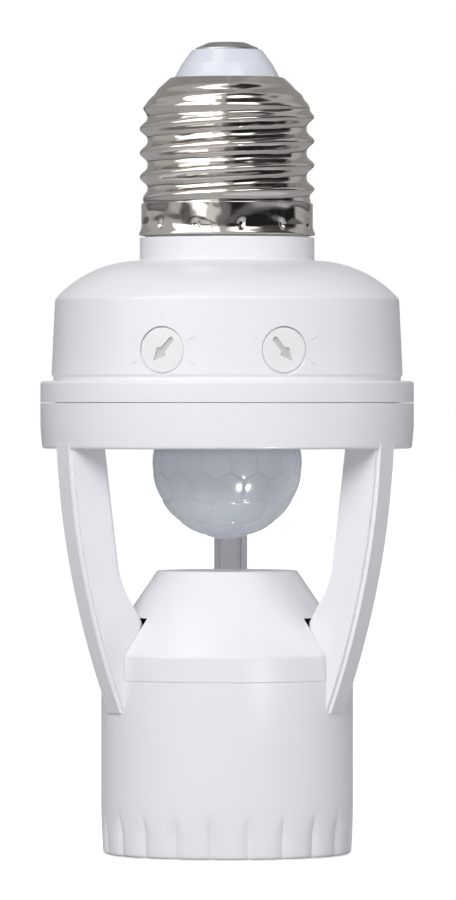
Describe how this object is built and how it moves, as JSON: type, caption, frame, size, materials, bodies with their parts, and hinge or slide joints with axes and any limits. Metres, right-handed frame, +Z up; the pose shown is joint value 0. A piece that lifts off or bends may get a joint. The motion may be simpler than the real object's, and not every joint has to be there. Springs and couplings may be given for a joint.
{
  "type": "motion sensor lamp holder",
  "caption": "Screw-in lamp holder with a movement sensor dome between three legs, two trimmer knobs, a screw cap on top and a lamp socket in the skirt below.",
  "frame": {"origin": "centre of the socket skirt's open bottom rim, where the holder stands", "axes": "+Z up along the common axis of lamp socket, sensor dome and screw cap; -Y is the front with the two knobs; +X to the right seen from the front"},
  "size_m": [0.056, 0.056, 0.1216],
  "materials": {
    "white_plastic": "smooth semi-gloss moulded plastic",
    "knob_plastic": "satin moulded plastic",
    "nickel": "bright nickel plate with faint draw marks",
    "contact_metal": "dull grey tinned metal",
    "insulator": "glassy pale cone",
    "lens_plastic": "milky translucent dome with moulded cells",
    "brass": "bare brass",
    "screw_steel": "zinc plated",
    "board_fibre": "green board lacquer",
    "black_plastic": "black moulded plastic",
    "capacitor_yellow": "yellow moulded case",
    "relay_blue": "blue moulded case",
    "resistor_body": "beige lacquer",
    "lead_red": "red lead insulation",
    "lead_blue": "blue lead insulation"
  },
  "bodies": {
    "holder": {"cap_contact": "contact_metal", "cap_insulator": "insulator", "cap_live_lead": "lead_red", "cap_neutral_lead": "lead_blue", "cap_shell": "nickel", "circuit_board": "board_fibre", "contact_rivet": "brass", "control_chip": "black_plastic", "film_capacitor": "capacitor_yellow", "fuse_resistor": "resistor_body", "housing_screw_1": "screw_steel", "housing_screw_2": "screw_steel", "housing_screw_3": "screw_steel", "lamp_live_lead": "lead_red", "lamp_neutral_lead": "lead_blue", "leg_frame": "white_plastic", "lens_dome": "lens_plastic", "light_sensor": "black_plastic", "lux_trimmer": "black_plastic", "pir_sensor": "screw_steel", "relay": "relay_blue", "sensor_spacer": "black_plastic", "shell_rivet": "brass", "smoothing_capacitor": "black_plastic", "socket_cover": "white_plastic", "socket_insert": "white_plastic", "socket_screw_1": "screw_steel", "socket_screw_2": "screw_steel", "socket_shell": "nickel", "time_trimmer": "black_plastic", "upper_housing": "white_plastic", "wire_cover": "white_plastic"},
    "time_knob": {"time_knob": "knob_plastic"},
    "lux_knob": {"lux_knob": "knob_plastic"},
    "centre_contact": {"centre_contact": "brass"}
  },
  "joints": [
    {"name": "time_turn", "type": "hinge", "parent": "holder", "child": "time_knob", "pos_m": [-0.00893, -0.02414, 0.0753], "axis": [-0.3469, -0.9379, 0], "range_deg": [-270, 0]},
    {"name": "lux_turn", "type": "hinge", "parent": "holder", "child": "lux_knob", "pos_m": [0.00893, -0.02414, 0.0753], "axis": [0.3469, -0.9379, 0], "range_deg": [0, 270]},
    {"name": "contact_press", "type": "hinge", "parent": "holder", "child": "centre_contact", "pos_m": [0, 0.008, 0.0308], "axis": [-1, 0, 0], "range_deg": [0, 6], "stiffness_Nm_per_rad": 0.3}
  ]
}
